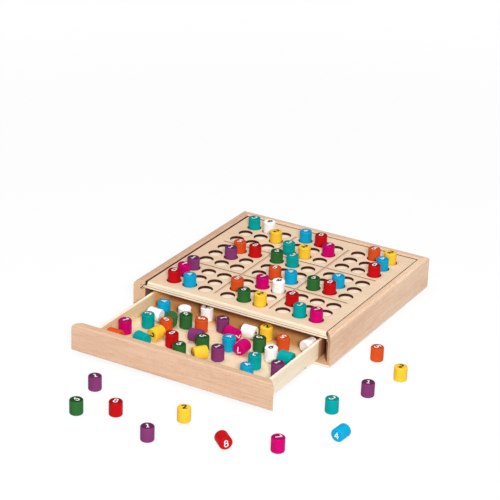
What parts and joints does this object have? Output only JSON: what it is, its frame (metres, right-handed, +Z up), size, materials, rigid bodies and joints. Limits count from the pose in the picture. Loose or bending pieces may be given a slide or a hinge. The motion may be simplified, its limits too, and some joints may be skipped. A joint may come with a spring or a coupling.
{
  "type": "sudoku board",
  "caption": "Square wooden sudoku board with blocks of round peg holes over a pull-out drawer, and painted number pegs in the holes, in the drawer and beside it.",
  "frame": {"origin": "middle of the base panel's underside, on the table", "axes": "+X to the right along the front, +Y to the back, +Z up out of the peg holes; the drawer opens toward -Y"},
  "size_m": [0.3281, 0.4758, 0.0476],
  "materials": {
    "beech": "clear satin",
    "plate": "clear satin",
    "ply": "raw sanded",
    "ply_side": "raw sanded",
    "paint_1": "purple satin paint",
    "paint_2": "yellow satin paint",
    "paint_3": "teal satin paint",
    "paint_4": "sky blue satin paint",
    "paint_5": "orange satin paint",
    "paint_6": "dark green satin paint",
    "paint_7": "magenta satin paint",
    "paint_8": "red satin paint",
    "paint_9": "white satin paint"
  },
  "bodies": {
    "case": {"side_rails": "beech", "back_rail": "beech", "base_panel": "ply", "hole_plate": "plate", "board_backing": "ply", "table_pegs_1": "paint_1", "table_pegs_2": "paint_2", "table_pegs_3": "paint_3", "table_pegs_4": "paint_4", "table_pegs_5": "paint_5", "table_pegs_6": "paint_6", "table_pegs_7": "paint_7", "table_pegs_8": "paint_8"},
    "drawer": {"drawer_front": "beech", "drawer_sides": "ply_side", "drawer_back": "ply_side", "drawer_bottom": "ply", "drawer_pegs_1": "paint_1", "drawer_pegs_2": "paint_2", "drawer_pegs_3": "paint_3", "drawer_pegs_4": "paint_4", "drawer_pegs_5": "paint_5", "drawer_pegs_6": "paint_6", "drawer_pegs_7": "paint_7", "drawer_pegs_8": "paint_8", "drawer_pegs_9": "paint_9"},
    "peg_8_a1": {"peg_8_a1": "paint_8"},
    "peg_4_b1": {"peg_4_b1": "paint_4"},
    "peg_6_e1": {"peg_6_e1": "paint_6"},
    "peg_2_f1": {"peg_2_f1": "paint_2"},
    "peg_3_h1": {"peg_3_h1": "paint_3"},
    "peg_7_i1": {"peg_7_i1": "paint_7"},
    "peg_7_a2": {"peg_7_a2": "paint_7"},
    "peg_5_d2": {"peg_5_d2": "paint_5"},
    "peg_8_g2": {"peg_8_g2": "paint_8"},
    "peg_1_a3": {"peg_1_a3": "paint_1"},
    "peg_7_e3": {"peg_7_e3": "paint_7"},
    "peg_9_f3": {"peg_9_f3": "paint_9"},
    "peg_5_e4": {"peg_5_e4": "paint_5"},
    "peg_4_f4": {"peg_4_f4": "paint_4"},
    "peg_6_g4": {"peg_6_g4": "paint_6"},
    "peg_8_h4": {"peg_8_h4": "paint_8"},
    "peg_1_b5": {"peg_1_b5": "paint_1"},
    "peg_4_h5": {"peg_4_h5": "paint_4"},
    "peg_5_b6": {"peg_5_b6": "paint_5"},
    "peg_8_c6": {"peg_8_c6": "paint_8"},
    "peg_6_d6": {"peg_6_d6": "paint_6"},
    "peg_3_e6": {"peg_3_e6": "paint_3"},
    "peg_3_d7": {"peg_3_d7": "paint_3"},
    "peg_2_e7": {"peg_2_e7": "paint_2"},
    "peg_8_i7": {"peg_8_i7": "paint_8"},
    "peg_2_c8": {"peg_2_c8": "paint_2"},
    "peg_7_f8": {"peg_7_f8": "paint_7"},
    "peg_4_i8": {"peg_4_i8": "paint_4"},
    "peg_3_a9": {"peg_3_a9": "paint_3"},
    "peg_9_b9": {"peg_9_b9": "paint_9"},
    "peg_4_d9": {"peg_4_d9": "paint_4"},
    "peg_8_e9": {"peg_8_e9": "paint_8"},
    "peg_5_h9": {"peg_5_h9": "paint_5"},
    "peg_2_i9": {"peg_2_i9": "paint_2"}
  },
  "joints": [
    {"name": "drawer_slide", "type": "slide", "parent": "case", "child": "drawer", "axis": [0, -1, 0], "range_m": [-0.1188, 0.035]},
    {"name": "peg_8_a1_lift", "type": "slide", "parent": "case", "child": "peg_8_a1", "axis": [0, 0, 1], "range_m": [0, 0.03]},
    {"name": "peg_4_b1_lift", "type": "slide", "parent": "case", "child": "peg_4_b1", "axis": [0, 0, 1], "range_m": [0, 0.03]},
    {"name": "peg_6_e1_lift", "type": "slide", "parent": "case", "child": "peg_6_e1", "axis": [0, 0, 1], "range_m": [0, 0.03]},
    {"name": "peg_2_f1_lift", "type": "slide", "parent": "case", "child": "peg_2_f1", "axis": [0, 0, 1], "range_m": [0, 0.03]},
    {"name": "peg_3_h1_lift", "type": "slide", "parent": "case", "child": "peg_3_h1", "axis": [0, 0, 1], "range_m": [0, 0.03]},
    {"name": "peg_7_i1_lift", "type": "slide", "parent": "case", "child": "peg_7_i1", "axis": [0, 0, 1], "range_m": [0, 0.03]},
    {"name": "peg_7_a2_lift", "type": "slide", "parent": "case", "child": "peg_7_a2", "axis": [0, 0, 1], "range_m": [0, 0.03]},
    {"name": "peg_5_d2_lift", "type": "slide", "parent": "case", "child": "peg_5_d2", "axis": [0, 0, 1], "range_m": [0, 0.03]},
    {"name": "peg_8_g2_lift", "type": "slide", "parent": "case", "child": "peg_8_g2", "axis": [0, 0, 1], "range_m": [0, 0.03]},
    {"name": "peg_1_a3_lift", "type": "slide", "parent": "case", "child": "peg_1_a3", "axis": [0, 0, 1], "range_m": [0, 0.03]},
    {"name": "peg_7_e3_lift", "type": "slide", "parent": "case", "child": "peg_7_e3", "axis": [0, 0, 1], "range_m": [0, 0.03]},
    {"name": "peg_9_f3_lift", "type": "slide", "parent": "case", "child": "peg_9_f3", "axis": [0, 0, 1], "range_m": [0, 0.03]},
    {"name": "peg_5_e4_lift", "type": "slide", "parent": "case", "child": "peg_5_e4", "axis": [0, 0, 1], "range_m": [0, 0.03]},
    {"name": "peg_4_f4_lift", "type": "slide", "parent": "case", "child": "peg_4_f4", "axis": [0, 0, 1], "range_m": [0, 0.03]},
    {"name": "peg_6_g4_lift", "type": "slide", "parent": "case", "child": "peg_6_g4", "axis": [0, 0, 1], "range_m": [0, 0.03]},
    {"name": "peg_8_h4_lift", "type": "slide", "parent": "case", "child": "peg_8_h4", "axis": [0, 0, 1], "range_m": [0, 0.03]},
    {"name": "peg_1_b5_lift", "type": "slide", "parent": "case", "child": "peg_1_b5", "axis": [0, 0, 1], "range_m": [0, 0.03]},
    {"name": "peg_4_h5_lift", "type": "slide", "parent": "case", "child": "peg_4_h5", "axis": [0, 0, 1], "range_m": [0, 0.03]},
    {"name": "peg_5_b6_lift", "type": "slide", "parent": "case", "child": "peg_5_b6", "axis": [0, 0, 1], "range_m": [0, 0.03]},
    {"name": "peg_8_c6_lift", "type": "slide", "parent": "case", "child": "peg_8_c6", "axis": [0, 0, 1], "range_m": [0, 0.03]},
    {"name": "peg_6_d6_lift", "type": "slide", "parent": "case", "child": "peg_6_d6", "axis": [0, 0, 1], "range_m": [0, 0.03]},
    {"name": "peg_3_e6_lift", "type": "slide", "parent": "case", "child": "peg_3_e6", "axis": [0, 0, 1], "range_m": [0, 0.03]},
    {"name": "peg_3_d7_lift", "type": "slide", "parent": "case", "child": "peg_3_d7", "axis": [0, 0, 1], "range_m": [0, 0.03]},
    {"name": "peg_2_e7_lift", "type": "slide", "parent": "case", "child": "peg_2_e7", "axis": [0, 0, 1], "range_m": [0, 0.03]},
    {"name": "peg_8_i7_lift", "type": "slide", "parent": "case", "child": "peg_8_i7", "axis": [0, 0, 1], "range_m": [0, 0.03]},
    {"name": "peg_2_c8_lift", "type": "slide", "parent": "case", "child": "peg_2_c8", "axis": [0, 0, 1], "range_m": [0, 0.03]},
    {"name": "peg_7_f8_lift", "type": "slide", "parent": "case", "child": "peg_7_f8", "axis": [0, 0, 1], "range_m": [0, 0.03]},
    {"name": "peg_4_i8_lift", "type": "slide", "parent": "case", "child": "peg_4_i8", "axis": [0, 0, 1], "range_m": [0, 0.03]},
    {"name": "peg_3_a9_lift", "type": "slide", "parent": "case", "child": "peg_3_a9", "axis": [0, 0, 1], "range_m": [0, 0.03]},
    {"name": "peg_9_b9_lift", "type": "slide", "parent": "case", "child": "peg_9_b9", "axis": [0, 0, 1], "range_m": [0, 0.03]},
    {"name": "peg_4_d9_lift", "type": "slide", "parent": "case", "child": "peg_4_d9", "axis": [0, 0, 1], "range_m": [0, 0.03]},
    {"name": "peg_8_e9_lift", "type": "slide", "parent": "case", "child": "peg_8_e9", "axis": [0, 0, 1], "range_m": [0, 0.03]},
    {"name": "peg_5_h9_lift", "type": "slide", "parent": "case", "child": "peg_5_h9", "axis": [0, 0, 1], "range_m": [0, 0.03]},
    {"name": "peg_2_i9_lift", "type": "slide", "parent": "case", "child": "peg_2_i9", "axis": [0, 0, 1], "range_m": [0, 0.03]}
  ]
}
